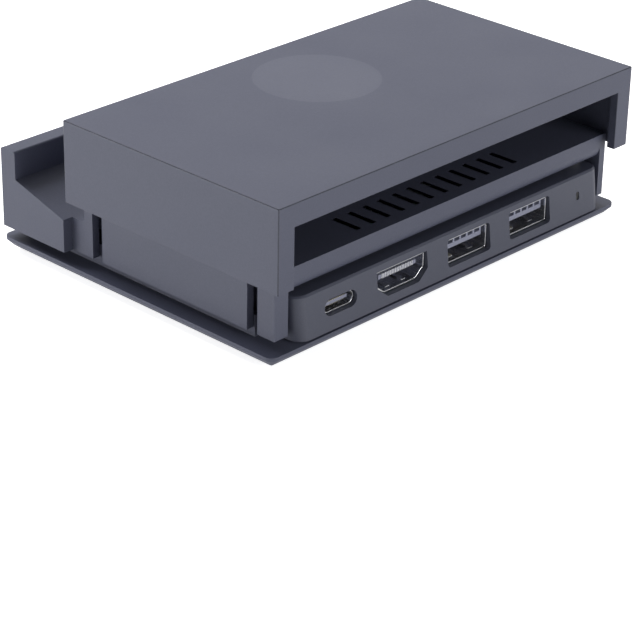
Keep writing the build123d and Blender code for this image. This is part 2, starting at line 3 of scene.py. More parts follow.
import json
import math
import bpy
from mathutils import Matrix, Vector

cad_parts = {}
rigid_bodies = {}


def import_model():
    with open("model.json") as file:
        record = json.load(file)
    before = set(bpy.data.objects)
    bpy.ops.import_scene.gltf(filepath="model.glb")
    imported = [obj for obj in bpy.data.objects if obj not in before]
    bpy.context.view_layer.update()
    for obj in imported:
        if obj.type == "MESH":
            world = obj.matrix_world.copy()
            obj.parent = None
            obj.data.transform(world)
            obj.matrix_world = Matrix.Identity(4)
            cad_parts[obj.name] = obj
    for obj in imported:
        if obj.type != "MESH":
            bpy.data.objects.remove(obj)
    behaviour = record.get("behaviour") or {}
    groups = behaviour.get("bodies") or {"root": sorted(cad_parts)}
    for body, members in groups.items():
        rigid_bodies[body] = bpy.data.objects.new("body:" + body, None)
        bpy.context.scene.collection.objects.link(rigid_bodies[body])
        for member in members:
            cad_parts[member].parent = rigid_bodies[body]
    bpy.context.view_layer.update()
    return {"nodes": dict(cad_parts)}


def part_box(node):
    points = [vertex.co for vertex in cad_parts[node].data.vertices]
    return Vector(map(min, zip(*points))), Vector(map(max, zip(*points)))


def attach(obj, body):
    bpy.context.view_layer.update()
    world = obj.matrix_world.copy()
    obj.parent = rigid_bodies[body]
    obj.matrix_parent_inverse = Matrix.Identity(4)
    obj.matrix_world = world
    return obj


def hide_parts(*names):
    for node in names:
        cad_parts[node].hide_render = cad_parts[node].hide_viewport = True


bl_info = {
    "name": "Console Dock",
    "version": (1, 0, 0),
    "blender": (4, 5, 0),
    "location": "3D View > Sidebar > Dock",
    "description": "Models the visible detail of a handheld console dock round its CAD solids",
    "category": "Object",
}

import bmesh
import bpy
from mathutils import Matrix, Vector

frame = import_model()

MM = 0.001
# A point this near to a place counts as being there.
NEAR = 0.01 * MM
# A normal with this much along an axis faces that way.
FACING = 0.99


# Colours and nodes


def linear(code):
    """Turns an sRGB hex colour into linear RGBA."""
    rgb = [int(code[i : i + 2], 16) / 255 for i in (0, 2, 4)]
    return tuple(c / 12.92 if c <= 0.04045 else ((c + 0.055) / 1.055) ** 2.4 for c in rgb) + (1.0,)


def set_inputs(tree, node, inputs):
    """Sets a node's inputs, each to a constant or to the output socket that it is linked to."""
    for name, value in inputs.items():
        if isinstance(value, bpy.types.NodeSocket):
            tree.links.new(value, node.inputs[name])
        else:
            node.inputs[name].default_value = value


def add_node(tree, kind, inputs, **settings):
    """Adds a node with its settings and links."""
    node = tree.nodes.new(kind)
    for name, value in settings.items():
        setattr(node, name, value)
    set_inputs(tree, node, inputs)
    return node


def start_material(name):
    """Starts a material; gives it with its node tree, its shader and its object coordinates."""
    material = bpy.data.materials.new(name)
    material.use_nodes = True
    tree = material.node_tree
    coords = add_node(tree, "ShaderNodeTexCoord", {}).outputs["Object"]
    return material, tree, tree.nodes["Principled BSDF"], coords


# Materials


def slanting(tree):
    """Gives 0 where a surface faces along an axis and 1 where it slants, as on a rounded edge."""
    normal = add_node(tree, "ShaderNodeTexCoord", {}).outputs["Normal"]
    sizes = add_node(
        tree, "ShaderNodeVectorMath", {0: normal}, operation="ABSOLUTE"
    ).outputs["Vector"]
    parts = add_node(tree, "ShaderNodeSeparateXYZ", {"Vector": sizes}).outputs
    level = add_node(
        tree, "ShaderNodeMath", {0: parts["X"], 1: parts["Y"]}, operation="MAXIMUM"
    ).outputs["Value"]
    most = add_node(
        tree, "ShaderNodeMath", {0: level, 1: parts["Z"]}, operation="MAXIMUM"
    ).outputs["Value"]
    return add_node(
        tree,
        "ShaderNodeMapRange",
        {"Value": most, "From Min": 0.99, "From Max": 0.9, "To Min": 0.0, "To Max": 1.0},
    ).outputs["Result"]


def moulded_abs(name, colour, grit, roughness=0.56, disc=None):
    """ABS from a spark-eroded mould: its even grain spreads highlights, a little unevenly."""
    material, tree, shader, coords = start_material(name)
    # The real grit is near 0.05 mm, too fine for the picture, so it is drawn coarser.
    grain = add_node(
        tree, "ShaderNodeTexNoise", {"Vector": coords, "Scale": 1 / grit, "Detail": 2.0}
    ).outputs["Fac"]
    # Gloss wanders over about 20 mm where the melt cooled unevenly.
    cloud = add_node(
        tree, "ShaderNodeTexNoise", {"Vector": coords, "Scale": 1 / (20 * MM), "Detail": 3.0}
    ).outputs["Fac"]
    gloss = add_node(
        tree,
        "ShaderNodeMapRange",
        {"Value": cloud, "To Min": roughness - 0.05, "To Max": roughness + 0.05},
    ).outputs["Result"]
    tint = add_node(
        tree,
        "ShaderNodeMapRange",
        {"Value": grain, "From Min": 0.3, "From Max": 0.7, "To Min": 0.93, "To Max": 1.07},
    ).outputs["Result"]
    if disc:
        x, y, radius = disc
        rim = 0.15 * MM
        place = add_node(
            tree, "ShaderNodeVectorMath", {0: coords, 1: (x, y, 0.0)}, operation="SUBTRACT"
        ).outputs["Vector"]
        level = add_node(
            tree, "ShaderNodeVectorMath", {0: place, 1: (1.0, 1.0, 0.0)}, operation="MULTIPLY"
        ).outputs["Vector"]
        away = add_node(
            tree, "ShaderNodeVectorMath", {0: level}, operation="LENGTH"
        ).outputs["Value"]
        inside = add_node(
            tree,
            "ShaderNodeMapRange",
            {
                "Value": away,
                "From Min": radius + rim,
                "From Max": radius - rim,
                "To Min": 0.0,
                "To Max": 1.0,
            },
        ).outputs["Result"]
        # A bare round place on the roof is a shade paler and smoother than the grain round it.
        # The grain stops short of the edges, which are smooth. A painted shade darkens them,
        # standing in for the dark room that their small rounds reflect.
        # The disc's step is its own paler tone; the edges' step is painted shade.
        for mask, tone_and_painted_shade, rougher in ((inside, 0.07, -0.06), (slanting(tree), -0.45, -0.3)):
            tint = add_node(
                tree, "ShaderNodeMath", {0: mask, 1: tone_and_painted_shade, 2: tint}, operation="MULTIPLY_ADD"
            ).outputs["Value"]
            gloss = add_node(
                tree, "ShaderNodeMath", {0: mask, 1: rougher, 2: gloss}, operation="MULTIPLY_ADD"
            ).outputs["Value"]
    shade = add_node(
        tree, "ShaderNodeVectorMath", {0: colour[:3], "Scale": tint}, operation="SCALE"
    ).outputs["Vector"]
    bump = add_node(
        tree, "ShaderNodeBump", {"Height": grain, "Strength": 0.25, "Distance": 0.02 * MM}
    ).outputs["Normal"]
    set_inputs(
        tree, shader, {"Base Color": shade, "Roughness": gloss, "Normal": bump, "IOR": 1.53}
    )
    return material


def foot_rubber(colour):
    """Silicone rubber from a matt mould: no clear highlight, and a dusty bloom in small patches."""
    material, tree, shader, coords = start_material("silicone_rubber")
    # Patches about 3 mm across.
    bloom = add_node(
        tree, "ShaderNodeTexNoise", {"Vector": coords, "Scale": 1 / (3 * MM), "Detail": 4.0}
    ).outputs["Fac"]
    dusty = [1.6 * c for c in colour[:3]] + [1.0]
    shade = add_node(
        tree, "ShaderNodeMix", {"Factor": bloom, "A": colour, "B": dusty}, data_type="RGBA"
    ).outputs["Result"]
    bump = add_node(
        tree, "ShaderNodeBump", {"Height": bloom, "Strength": 0.2, "Distance": 0.05 * MM}
    ).outputs["Normal"]
    set_inputs(tree, shader, {"Base Color": shade, "Normal": bump, "Roughness": 0.8, "IOR": 1.41})
    return material


# The lines of drawn metal are twenty times as long as wide, back along Y or up along Z.
DRAWN_BACK, DRAWN_UP, NOT_DRAWN = (1.0, 0.05, 1.0), (1.0, 1.0, 0.05), (1.0, 1.0, 1.0)


def plated_metal(name, colour, roughness=0.24, drawn=DRAWN_BACK):
    """Plated metal, mostly drawn sheet: bright, with faint lines along the way it was drawn."""
    material, tree, shader, coords = start_material(name)
    stretched = add_node(
        tree, "ShaderNodeVectorMath", {0: coords, 1: drawn}, operation="MULTIPLY"
    ).outputs["Vector"]
    # Drawing lines about 0.1 mm apart.
    lines = add_node(
        tree, "ShaderNodeTexNoise", {"Vector": stretched, "Scale": 1 / (0.1 * MM), "Detail": 2.0}
    ).outputs["Fac"]
    gloss = add_node(
        tree,
        "ShaderNodeMapRange",
        {"Value": lines, "To Min": roughness - 0.08, "To Max": roughness + 0.08},
    ).outputs["Result"]
    bump = add_node(
        tree, "ShaderNodeBump", {"Height": lines, "Strength": 0.1, "Distance": 0.005 * MM}
    ).outputs["Normal"]
    set_inputs(
        tree,
        shader,
        {"Base Color": colour, "Metallic": 1.0, "Roughness": gloss, "Normal": bump},
    )
    return material


def moulded_polymer(name, colour, roughness=0.5):
    """Filled polymer, resin or ceramic pressed in a mould: dull, with short pale flow streaks."""
    material, tree, shader, coords = start_material(name)
    # Streaks about 0.4 mm wide and four times as long.
    stretched = add_node(
        tree, "ShaderNodeVectorMath", {0: coords, 1: (1.0, 0.25, 1.0)}, operation="MULTIPLY"
    ).outputs["Vector"]
    streaks = add_node(
        tree, "ShaderNodeTexNoise", {"Vector": stretched, "Scale": 1 / (0.4 * MM), "Detail": 3.0}
    ).outputs["Fac"]
    tint = add_node(
        tree,
        "ShaderNodeMapRange",
        {"Value": streaks, "From Min": 0.3, "From Max": 0.7, "To Min": 0.9, "To Max": 1.1},
    ).outputs["Result"]
    shade = add_node(
        tree, "ShaderNodeVectorMath", {0: colour[:3], "Scale": tint}, operation="SCALE"
    ).outputs["Vector"]
    bump = add_node(
        tree, "ShaderNodeBump", {"Height": streaks, "Strength": 0.15, "Distance": 0.02 * MM}
    ).outputs["Normal"]
    set_inputs(
        tree, shader, {"Base Color": shade, "Normal": bump, "Roughness": roughness, "IOR": 1.6}
    )
    return material


def solder_mask(colour):
    """Glass-epoxy board under solder mask: glossy lacquer, with copper in paler squared runs."""
    material, tree, shader, coords = start_material("solder_mask_on_epoxy")
    # Tracks in blocks about 2.5 mm across.
    tracks = add_node(
        tree,
        "ShaderNodeTexVoronoi",
        {"Vector": coords, "Scale": 1 / (2.5 * MM), "Randomness": 0.6},
        distance="CHEBYCHEV",
        feature="F1",
    ).outputs["Distance"]
    copper = add_node(
        tree,
        "ShaderNodeMapRange",
        {"Value": tracks, "From Min": 0.34, "From Max": 0.38, "To Min": 0.0, "To Max": 1.0},
    ).outputs["Result"]
    tone_and_painted_shade = [1.8 * c for c in colour[:3]] + [1.0]
    shade = add_node(
        tree, "ShaderNodeMix", {"Factor": copper, "A": colour, "B": tone_and_painted_shade}, data_type="RGBA"
    ).outputs["Result"]
    bump = add_node(
        tree, "ShaderNodeBump", {"Height": copper, "Strength": 0.3, "Distance": 0.03 * MM}
    ).outputs["Normal"]
    set_inputs(tree, shader, {"Base Color": shade, "Normal": bump, "Roughness": 0.28, "IOR": 1.55})
    return material


def frosted_polycarbonate(colour):
    """Dark-tinted polycarbonate light guide: its frosted end spreads the lamp's light."""
    material, tree, shader, coords = start_material("frosted_polycarbonate")
    # Frosting in patches about 0.5 mm across.
    haze = add_node(
        tree, "ShaderNodeTexNoise", {"Vector": coords, "Scale": 1 / (0.5 * MM), "Detail": 2.0}
    ).outputs["Fac"]
    gloss = add_node(
        tree, "ShaderNodeMapRange", {"Value": haze, "To Min": 0.45, "To Max": 0.6}
    ).outputs["Result"]
    set_inputs(
        tree,
        shader,
        {"Base Color": colour, "Roughness": gloss, "Transmission Weight": 1.0, "IOR": 1.585},
    )
    return material


# Modelling helpers


def select_only(piece):
    """Leaves one object selected and active."""
    bpy.ops.object.select_all(action="DESELECT")
    piece.select_set(True)
    bpy.context.view_layer.objects.active = piece


def edit(piece):
    """Opens a piece in edit mode with nothing selected."""
    select_only(piece)
    bpy.ops.object.mode_set(mode="EDIT")
    bpy.ops.mesh.select_mode(type="FACE")
    bpy.ops.mesh.select_all(action="DESELECT")


def done():
    """Goes back to object mode."""
    bpy.ops.object.mode_set(mode="OBJECT")


def pick_faces(piece, test):
    """Selects the faces that a test of their middle and normal accepts."""
    bpy.ops.mesh.select_mode(type="FACE")
    mesh = bmesh.from_edit_mesh(piece.data)
    for face in mesh.faces:
        face.select_set(test(face.calc_center_median(), face.normal))
    bmesh.update_edit_mesh(piece.data)
    if not any(face.select for face in mesh.faces):
        raise RuntimeError(f"no face of {piece.name} was picked")


def pick_edges(piece, test):
    """Selects the edges that a test of their two ends accepts."""
    bpy.ops.mesh.select_mode(type="EDGE")
    mesh = bmesh.from_edit_mesh(piece.data)
    for edge in mesh.edges:
        edge.select_set(test(*[v.co for v in edge.verts]))
    bmesh.update_edit_mesh(piece.data)
    if not any(edge.select for edge in mesh.edges):
        raise RuntimeError(f"no edge of {piece.name} was picked")


def runs_back(a, b):
    """Tells whether an edge runs along Y."""
    return abs(a.x - b.x) < NEAR and abs(a.z - b.z) < NEAR


def extrude(step):
    """Extrudes what is selected along a vector."""
    bpy.ops.mesh.extrude_region_move(TRANSFORM_OT_translate={"value": tuple(step)})


def modify(piece, kind, **settings):
    """Applies a modifier with its settings to the active piece."""
    bpy.ops.object.modifier_add(type=kind)
    modifier = piece.modifiers[-1]
    for name, value in settings.items():
        setattr(modifier, name, value)
    bpy.ops.object.modifier_apply(modifier=modifier.name)


def add_block(name, low, high):
    """Adds a box between two corners, with its place in its mesh."""
    low, high = Vector(low), Vector(high)
    bpy.ops.object.select_all(action="DESELECT")
    bpy.ops.mesh.primitive_cube_add(size=1, location=(low + high) / 2, scale=high - low)
    piece = bpy.context.active_object
    piece.name = name
    bpy.ops.object.transform_apply(location=True, rotation=True, scale=True)
    return piece


def copy_to(piece, name, move):
    """Copies a piece, with its own mesh, and moves the copy."""
    select_only(piece)
    bpy.ops.object.duplicate()
    copy = bpy.context.active_object
    copy.name = name
    bpy.ops.transform.translate(value=move)
    bpy.ops.object.transform_apply(location=True, rotation=True, scale=True)
    return copy


def bent_strip(name, start, steps, width, thick):
    """Bends a strip: a plane's leading edge is extruded step by step, then given its thickness."""
    start, first = Vector(start), Vector(steps[0])
    bpy.ops.object.select_all(action="DESELECT")
    bpy.ops.mesh.primitive_plane_add(size=1, location=(0, 0, 0))
    piece = bpy.context.active_object
    piece.name = name
    edit(piece)
    mesh = bmesh.from_edit_mesh(piece.data)
    for v in mesh.verts:
        far = first if v.co.y < 0 else Vector((0, 0, 0))
        v.co = start + far + Vector((math.copysign(width / 2, v.co.x), 0, 0))
    bmesh.update_edit_mesh(piece.data)
    tip = start + first
    for step in steps[1:]:
        pick_edges(
            piece,
            lambda *ends, tip=tip: all((v.yz - tip.yz).length < 0.1 * NEAR for v in ends),
        )
        extrude(step)
        tip = tip + Vector(step)
    done()
    modify(piece, "SOLIDIFY", thickness=thick, offset=0.0)
    modify(piece, "BEVEL", width=thick / 5, segments=1)
    return piece


def join_pieces(name, pieces):
    """Joins several pieces into one."""
    select_only(pieces[0])
    for piece in pieces[1:]:
        piece.select_set(True)
    bpy.ops.object.join()
    pieces[0].name = name
    return pieces[0]


def finish_piece(piece, material, node):
    """Smooths a finished piece and puts it, in its material, on the dock in place of a CAD node."""
    select_only(piece)
    bpy.ops.object.shade_smooth_by_angle(angle=math.radians(35))
    # Broad faces stay flat in shading beside small rounds.
    modify(piece, "WEIGHTED_NORMAL", keep_sharp=True)
    piece.data.name = piece.name
    piece.data.materials.clear()
    piece.data.materials.append(material)
    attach(piece, "root")
    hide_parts(node)


def dress(node, material):
    """Gives a CAD node that stays its material."""
    mesh = frame["nodes"][node].data
    mesh.materials.clear()
    mesh.materials.append(material)


def merged_copy(node, name):
    """Copies a CAD node and merges its flat faces."""
    select_only(frame["nodes"][node])
    bpy.ops.object.duplicate()
    piece = bpy.context.active_object
    bpy.ops.object.parent_clear(type="CLEAR_KEEP_TRANSFORM")
    for key in list(piece.keys()):
        del piece[key]
    piece.name = name
    bpy.ops.mesh.customdata_custom_splitnormals_clear()
    edit(piece)
    bpy.ops.mesh.select_all(action="SELECT")
    bpy.ops.mesh.remove_doubles(threshold=0.1 * NEAR)
    bpy.ops.mesh.dissolve_limited(angle_limit=math.radians(0.5))
    done()
    return piece


def soften(piece, width):
    """Rounds a piece's sharp edges."""
    select_only(piece)
    modify(
        piece,
        "BEVEL",
        width=width,
        segments=2,
        limit_method="ANGLE",
        angle_limit=math.radians(40),
        use_clamp_overlap=True,
    )


def softened_copy(node, name, width):
    """Copies a CAD node and rounds its sharp edges."""
    piece = merged_copy(node, name)
    soften(piece, width)
    return piece


# Sizes and colours that a user would change


class DockSizes(bpy.types.PropertyGroup):
    """Sizes of the detail added to the solids"""

    edge: bpy.props.FloatProperty(
        name="Moulded edge",
        description="Rounding of the mouldings' sharp edges",
        default=0.15 * MM,
        min=0.0,
        unit="LENGTH",
        precision=5,
    )
    grit: bpy.props.FloatProperty(
        name="Grain",
        description="Size of the mouldings' grain as it is drawn",
        default=0.35 * MM,
        unit="LENGTH",
        precision=5,
    )
    disc: bpy.props.FloatVectorProperty(
        name="Bare disc",
        description="Middle and radius of the smoother disc on the roof",
        default=(0.0, -1.0 * MM, 13.75 * MM),
        unit="LENGTH",
        precision=5,
    )
    sheet: bpy.props.FloatProperty(
        name="Sheet metal",
        description="Thickness of the folded socket shells",
        default=0.4 * MM,
        unit="LENGTH",
        precision=5,
    )
    fold: bpy.props.FloatProperty(
        name="Fold",
        description="Outer radius of the shells' folded corners",
        default=0.6 * MM,
        unit="LENGTH",
        precision=5,
    )
    power_opening: bpy.props.FloatProperty(
        name="Power socket opening",
        description="Height of the small round-ended opening",
        default=2.56 * MM,
        unit="LENGTH",
        precision=5,
    )
    corner_gap: bpy.props.FloatProperty(
        name="Corner gap",
        description="More room between the rear pillar and the port box, beside the power socket",
        default=1.2 * MM,
        unit="LENGTH",
        precision=5,
    )
    vent_lean: bpy.props.FloatProperty(
        name="Vent lean",
        description="How far the vents lean through the deck",
        default=2.3 * MM,
        unit="LENGTH",
        precision=5,
    )
    foot_line: bpy.props.FloatProperty(
        name="Foot line",
        description="Shadow line under the port box",
        default=0.35 * MM,
        unit="LENGTH",
        precision=5,
    )
    foot_groove: bpy.props.FloatProperty(
        name="Foot groove",
        description="Width of the rings under the rubber feet",
        default=0.7 * MM,
        unit="LENGTH",
        precision=5,
    )


class DockColours(bpy.types.PropertyGroup):
    """Colours of the finishes"""

    plastic: bpy.props.FloatVectorProperty(
        name="Plastic",
        description="Moulded cover, housing and base plate",
        subtype="COLOR",
        size=4,
        default=linear("474a5b"),
    )
    # A smoother moulding, and also painted darker than the housing: painted shade for the dimmer
    # light on the port box's leaning face.
    port_plastic_painted_darker: bpy.props.FloatVectorProperty(
        name="Port box",
        description="Smoother moulding round the sockets",
        subtype="COLOR",
        size=4,
        default=linear("414453"),
    )
    rubber: bpy.props.FloatVectorProperty(
        name="Rubber",
        description="Feet",
        subtype="COLOR",
        size=4,
        default=linear("25262a"),
    )
    nickel: bpy.props.FloatVectorProperty(
        name="Nickel",
        description="Socket shells and plug",
        subtype="COLOR",
        size=4,
        default=linear("e0e1e4"),
    )
    gold: bpy.props.FloatVectorProperty(
        name="Gold",
        description="Contacts",
        subtype="COLOR",
        size=4,
        default=linear("d2ccba"),
    )
    insulator: bpy.props.FloatVectorProperty(
        name="Insulator",
        description="Tongues of the sockets",
        subtype="COLOR",
        size=4,
        default=linear("7f8294"),
    )
    board: bpy.props.FloatVectorProperty(
        name="Board",
        description="Solder mask",
        subtype="COLOR",
        size=4,
        default=linear("0f4a2c"),
    )
    resin: bpy.props.FloatVectorProperty(
        name="Chip resin",
        description="Bodies of the chips",
        subtype="COLOR",
        size=4,
        default=linear("26272a"),
    )
    ceramic: bpy.props.FloatVectorProperty(
        name="Ceramic",
        description="Capacitor bodies",
        subtype="COLOR",
        size=4,
        default=linear("a07a55"),
    )
    guide: bpy.props.FloatVectorProperty(
        name="Light guide",
        description="Tinted window of the status light",
        subtype="COLOR",
        size=4,
        default=linear("1e1f24"),
    )
    lamp: bpy.props.FloatVectorProperty(
        name="Lamp",
        description="Body of the status lamp",
        subtype="COLOR",
        size=4,
        default=linear("e8ecf2"),
    )


class DockStage(bpy.types.PropertyGroup):
    """Camera and light"""

    eye: bpy.props.FloatVectorProperty(
        name="Eye",
        description="Place of the camera",
        subtype="XYZ",
        unit="LENGTH",
        default=(354.8 * MM, 335.0 * MM, 225.1 * MM),
    )
    azimuth: bpy.props.FloatProperty(
        name="Azimuth",
        description="Way the camera looks, round the dock",
        subtype="ANGLE",
        default=math.radians(133.25),
    )
    elevation: bpy.props.FloatProperty(
        name="Elevation",
        description="How far down the camera looks",
        subtype="ANGLE",
        default=math.radians(26.62),
    )
    roll: bpy.props.FloatProperty(
        name="Roll",
        description="Tilt of the picture",
        subtype="ANGLE",
        default=math.radians(1.15),
    )
    lens: bpy.props.FloatProperty(
        name="Lens",
        description="Focal length",
        unit="CAMERA",
        default=139.28,
    )
    left: bpy.props.FloatProperty(
        name="Left box",
        description="Power of the low soft light at the +X end",
        unit="POWER",
        default=4.0,
    )
    right: bpy.props.FloatProperty(
        name="Right box",
        description="Power of the low soft light on the port side",
        unit="POWER",
        default=3.5,
    )
    back: bpy.props.FloatProperty(
        name="Back box",
        description="Power of the high soft light behind the lip",
        unit="POWER",
        default=14.0,
    )
    table: bpy.props.FloatProperty(
        name="Table",
        description="Glow of the white table to the camera",
        default=0.82,
    )
    glow: bpy.props.FloatProperty(
        name="Glow",
        description="Glow of the white table to the dock",
        default=0.45,
    )
    sky: bpy.props.FloatProperty(
        name="Sky",
        description="Strength of the even light all round",
        default=0.12,
    )


# Pieces


class DOCK_OT_mouldings(bpy.types.Operator):
    """Softens the plastic mouldings' edges and gives them their grain"""

    bl_idname = "dock.mouldings"
    bl_label = "Mouldings"

    def execute(self, context):
        sizes, colours = context.scene.dock_sizes, context.scene.dock_colours
        fine = 0.7 * sizes.grit
        roof = moulded_abs("abs_grained_roof", colours.plastic, sizes.grit, disc=sizes.disc)
        grained = moulded_abs("abs_grained", colours.plastic, sizes.grit)
        # The port box's colour is painted darker than the housing's: painted shade for the dim light
        # on its leaning face.
        smooth = moulded_abs("abs_fine_grained", colours.port_plastic_painted_darker, fine, roughness=0.5)
        for node, material in (
            ("top_cover", roof),
            ("housing", grained),
            ("base_plate", grained),
            ("port_box", smooth),
            ("plug_pedestal", smooth),
        ):
            piece = merged_copy(node, f"{node}_moulding")
            if node == "housing":
                self.open_corner(piece, sizes.corner_gap)
            elif node == "port_box":
                self.lift_foot(piece, sizes.foot_line)
            soften(piece, sizes.edge)
            if node == "housing":
                # Leaned once its edges are soft, because a slanted wall bevels unevenly.
                self.lean_vents(piece, sizes.vent_lean)
            finish_piece(piece, material, node)
        return {"FINISHED"}

    def open_corner(self, piece, gap):
        """Moves the pillar's side away from the port box beside the power socket."""
        # The port box's ear reaches this far behind the pillar.
        ear = 1.0 * MM
        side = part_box("port_box")[1].x - ear
        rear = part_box("housing")[1].y - 2.0 * MM
        edit(piece)
        pick_faces(
            piece, lambda c, n: n.x < -FACING and abs(c.x - side) < 5 * NEAR and c.y > rear
        )
        bpy.ops.transform.translate(value=(gap, 0, 0))
        done()

    def lift_foot(self, piece, line):
        """Leaves a shadow line between the port box's foot and the base plate."""
        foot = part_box("port_box")[0].z
        edit(piece)
        pick_faces(piece, lambda c, n: n.z < -FACING and c.z < foot + NEAR)
        bpy.ops.transform.translate(value=(0, 0, line))
        done()

    def lean_vents(self, piece, lean):
        """Leans the vents like louvres: their lower edges move away from the ports."""
        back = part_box("housing")[1].y
        half, near, far = 26.0 * MM, back - 3.0 * MM, back - 10.4 * MM
        # Levels on either side of the deck's underside, at 18 mm; the vents' upper edges stay.
        under, over = 17.0 * MM, 18.5 * MM
        across = 0.95 * lean
        edit(piece)
        pick_edges(
            piece,
            lambda *ends: all(
                abs(v.x) < half and far < v.y < near and under < v.z < over for v in ends
            ),
        )
        bpy.ops.transform.translate(value=(-lean, -across, 0))
        done()


class DOCK_OT_feet(bpy.types.Operator):
    """Makes the rubber feet, rounded and ringed underneath"""

    bl_idname = "dock.feet"
    bl_label = "Feet"

    def execute(self, context):
        sizes, colours = context.scene.dock_sizes, context.scene.dock_colours
        rubber = foot_rubber(colours.rubber)
        nodes = ("foot_front_left", "foot_front_right", "foot_back_left", "foot_back_right")
        corners = [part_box(node)[0] for node in nodes]
        first = self.mould_pad(nodes[0], sizes.foot_groove)
        pads = [first]
        for node, corner in zip(nodes[1:], corners[1:]):
            pads.append(copy_to(first, f"{node}_pad", corner - corners[0]))
        for node, pad in zip(nodes, pads):
            finish_piece(pad, rubber, node)
        return {"FINISHED"}

    def mould_pad(self, node, groove):
        """Moulds one foot: a disc with a rounded rim and rings sunk in its underside."""
        low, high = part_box(node)
        middle = (low + high) / 2
        radius, thick = (high.x - low.x) / 2, high.z - low.z
        rings = 3
        rim, sunk, slope = 0.35 * thick, 0.3 * thick, 0.1 * groove
        bpy.ops.object.select_all(action="DESELECT")
        bpy.ops.mesh.primitive_cylinder_add(
            vertices=72, radius=radius, depth=thick, location=middle
        )
        pad = bpy.context.active_object
        pad.name = f"{node}_pad"
        bpy.ops.object.transform_apply(location=True, rotation=True, scale=True)
        edit(pad)
        pick_edges(pad, lambda a, b: max(a.z, b.z) < low.z + NEAR)
        bpy.ops.mesh.bevel(offset=rim, segments=4, affect="EDGES")
        for _ in range(rings):
            pick_faces(
                pad,
                lambda c, n: n.z < -FACING
                and (c.xy - middle.xy).length < 10 * NEAR
                and c.z < low.z + NEAR,
            )
            bpy.ops.mesh.inset(thickness=groove)
            bpy.ops.mesh.inset(thickness=slope)
            bpy.ops.transform.translate(value=(0, 0, sunk))
            bpy.ops.mesh.inset(thickness=0.5 * groove)
            bpy.ops.mesh.inset(thickness=slope)
            bpy.ops.transform.translate(value=(0, 0, -sunk))
        bpy.ops.mesh.select_all(action="SELECT")
        bpy.ops.mesh.normals_make_consistent(inside=False)
        done()
        return pad


def folded_tube(name, low, high, sheet, fold, depth):
    """Folds a tube of sheet metal, open at its +Y end: a rounded box, hollowed from its front."""
    piece = add_block(name, low, high)
    edit(piece)
    pick_edges(piece, runs_back)
    bpy.ops.mesh.bevel(offset=fold, segments=8, affect="EDGES", clamp_overlap=True)
    hollow_front(piece, high.y, sheet, depth)
    done()
    return piece


def hollow_front(piece, mouth, sheet, depth):
    """Hollows a solid from its front and rounds the rim that is left."""
    pick_faces(piece, lambda c, n: n.y > FACING)
    bpy.ops.mesh.inset(thickness=sheet)
    extrude((0, -depth, 0))
    pick_edges(piece, lambda a, b: min(a.y, b.y) > mouth - NEAR)
    # Of the edges at the mouth, only those between the rim and a wall are rounded.
    mesh = bmesh.from_edit_mesh(piece.data)
    for edge in mesh.edges:
        normals = [face.normal.y for face in edge.link_faces]
        edge.select_set(edge.select and min(normals) < 0.5 < max(normals))
    bmesh.update_edit_mesh(piece.data)
    bpy.ops.mesh.bevel(offset=0.25 * sheet, segments=3, affect="EDGES")
    bpy.ops.mesh.select_all(action="SELECT")
    bpy.ops.mesh.normals_make_consistent(inside=False)


def spring_fingers(low, high, sheet, root, apart, width, runs, floor, top):
    """Bends spring fingers in a shell's floor and top, and copies them to its other side.

    floor and top say how far a finger there rises on its way up, and then over its crown.
    """
    x, y = (low.x + high.x - apart) / 2, high.y - root
    up, over, down = runs
    fingers = []
    for wall, (rise, crown) in ((low.z + sheet, floor), (high.z - sheet, top)):
        steps = [(0, -up, rise), (0, -over, crown), (0, -over, -crown), (0, -down, -rise)]
        fingers.append(bent_strip("finger", (x, y, wall), steps, width, thick=0.2 * MM))
    return fingers + [copy_to(finger, "finger", (apart, 0, 0)) for finger in fingers]


